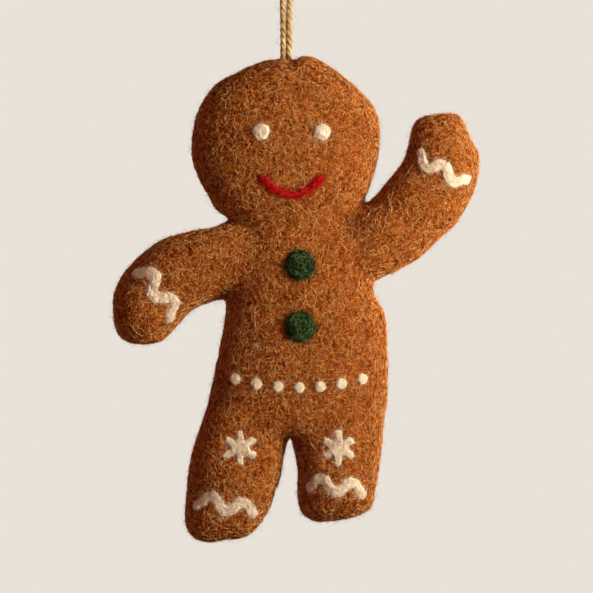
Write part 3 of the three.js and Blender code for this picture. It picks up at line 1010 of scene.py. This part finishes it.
tangleGroup = makeTangleGroup()
strandGroup = makeStrandGroup()
setCamera()
twineLoop, twineLine, twineStops = buildTwine()
hairs = buildTwineHairs(twineLine)
knot = buildKnot()
for piece in (twineLoop, hairs):
    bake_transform(piece)
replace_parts(twineLoop, "hanging_twine")
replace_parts(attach(knot, "knot"), "stopper_knot")
print("twine", round(twineStops[-1] * 1000, 1), "mm", len(twineLoop.data.polygons), "faces")

feltWools = {  # fibre scale and strength of the bumps
    "brownWool": (2500.0, 0.6),
    "creamWool": (1300.0, 0.3),
    "redWool": (1300.0, 0.5),
    "greenWool": (1300.0, 0.5),
    "coreWool": (900.0, 0.5),
}
materials = {wool: surfaceMaterial(wool, *felt) for wool, felt in feltWools.items()}
fibreWools = ("brownWool", "brownLitTips", "creamWool", "redWool", "greenWool")
fibreMaterials = {wool: fibreMaterial(wool) for wool in fibreWools}
skinBm = buildSkin()
print("skin", len(skinBm.faces), "faces")
skinTree = BVHTree.FromBMesh(skinBm)
solidTree = coatTree()[0]
trimForms = {name: buildTrim(name, skinTree, solidTree) for name in trims}
for bm in trimForms.values():
    sinkBesideTrim(skinBm, BVHTree.FromBMesh(bm))
skinTree = BVHTree.FromBMesh(skinBm)
allTrimTree = joinedTree(*trimForms.values())
dressedTree = dressedSurface(skinBm, allTrimTree, trimForms.values())
for limb, (coat, roots) in buildCoats(skinBm, ownersOf(skinBm)).items():
    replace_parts(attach(coat, "figure"), limb + "_coat")
    growFelt(limb, roots, skinTree, dressedTree, allTrimTree)
print("coats and their fibres")
buildCores()
for name, wool in trims.items():
    trimTree = BVHTree.FromBMesh(trimForms[name])
    piece = linkMesh(name + "_wool", trimForms[name], materials[wool])
    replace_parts(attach(piece, "figure"), name)
    growTrim(name, piece, trimTree, dressedTree, wool)
    growFray(name, piece, trimTree, skinTree, wool)
print("cores and trim")


# Stage: a pale floor that fades out, a pale surround and soft lamps
stage = {
    "floorHeight": -0.3,
    "floorRadius": 1.2,
    "floorSides": 96,
    "floorRoughness": 0.9,
    "fade": (0.05, 0.2),
    "pale": colour(232, 226, 217),
    "floorShade": colour(166, 168, 165),  # takes the lamps' light and the figure's shadow
    "floorGlow": 0.62,  # share of the pale colour that is always seen
    "ambient": 0.24,
    "ambientTint": colour(245, 175, 160),
    "aim": (2.5 * mm, 0, -62 * mm),  # the head, so that the light falls off towards the feet
    "lamps": {  # place, size, power, colour, spread in degrees
        "key": ((0.28, -0.18, -0.035), 0.18, 0.44, (1.0, 0.98, 0.85), 85),
        "fill": ((-0.7, -0.75, 0.1), 0.7, 0.2, (1.0, 0.93, 0.86), 180),
        "rim": ((0.6, 0.6, 0.0), 0.4, 2.5, (1.0, 0.93, 0.84), 180),
        "back": ((-0.25, 0.95, -0.05), 0.6, 5.0, (1.0, 0.96, 0.91), 180),
    },
}


# Rays that see the pale colour itself, so that it lights nothing
def seenDirectly(tree):
    ray = node(tree, "ShaderNodeLightPath")
    seen = mathNode(tree, "ADD", ray.outputs["Is Camera Ray"], ray.outputs["Is Glossy Ray"])
    return mathNode(tree, "ADD", seen, ray.outputs["Is Transmission Ray"], clamp=True)


def setStage():
    bm = bmesh.new()
    lift = Matrix.Translation((0, 0, stage["floorHeight"]))
    bmesh.ops.create_circle(
        bm, cap_ends=True, segments=stage["floorSides"], radius=stage["floorRadius"], matrix=lift)
    material = bpy.data.materials.new("paleFloor")
    material.use_nodes = True
    tree = material.node_tree
    shader = tree.nodes["Principled BSDF"]
    shader.inputs["Base Color"].default_value = stage["floorShade"]
    shader.inputs["Roughness"].default_value = stage["floorRoughness"]
    shader.inputs["Emission Color"].default_value = stage["pale"]
    glow = mathNode(tree, "MULTIPLY", seenDirectly(tree), stage["floorGlow"])
    tree.links.new(glow, shader.inputs["Emission Strength"])
    place = node(tree, "ShaderNodeTexCoord").outputs["Object"]
    flat = node(tree, "ShaderNodeVectorMath", {0: place, 1: (1, 1, 0)}, operation="MULTIPLY")
    reach = node(tree, "ShaderNodeVectorMath", {0: flat.outputs[0]}, operation="LENGTH")
    fade = node(tree, "ShaderNodeMapRange", {
        "Value": reach.outputs["Value"], "From Min": stage["fade"][0], "From Max": stage["fade"][1]})
    clear = node(tree, "ShaderNodeBsdfTransparent")
    mix = node(tree, "ShaderNodeMixShader", {0: fade.outputs[0], 1: shader.outputs[0], 2: clear.outputs[0]})
    tree.links.new(mix.outputs[0], tree.nodes["Material Output"].inputs["Surface"])
    linkMesh("floor", bm, material)
    world = bpy.data.worlds.new("surround")
    scene.world = world
    world.use_nodes = True
    tree = world.node_tree
    seen = seenDirectly(tree)
    background = tree.nodes["Background"]
    strength = node(tree, "ShaderNodeMapRange", {"Value": seen, "To Min": stage["ambient"], "To Max": 1.0})
    tree.links.new(strength.outputs[0], background.inputs["Strength"])
    tree.links.new(mixColour(tree, seen, stage["ambientTint"], stage["pale"]), background.inputs["Color"])
    for name, (place, size, power, tint, spread) in stage["lamps"].items():
        lamp = bpy.data.lights.new(name, "AREA")
        lamp.shape = "DISK"
        lamp.size = size
        lamp.energy = power
        lamp.color = tint
        lamp.spread = math.radians(spread)
        holder = bpy.data.objects.new(name, lamp)
        holder.location = place
        holder.rotation_euler = (Vector(stage["aim"]) - Vector(place)).to_track_quat("-Z", "Y").to_euler()
        holder.visible_camera = False
        scene.collection.objects.link(holder)
    scene.view_settings.view_transform = "Standard"


setStage()
faceCounts = {obj.name: len(obj.data.polygons) for obj in scene.objects if obj.type == "MESH"}
most = max(faceCounts, key=faceCounts.get)
print(len(faceCounts), "meshes", sum(faceCounts.values()), "faces, most in", most)
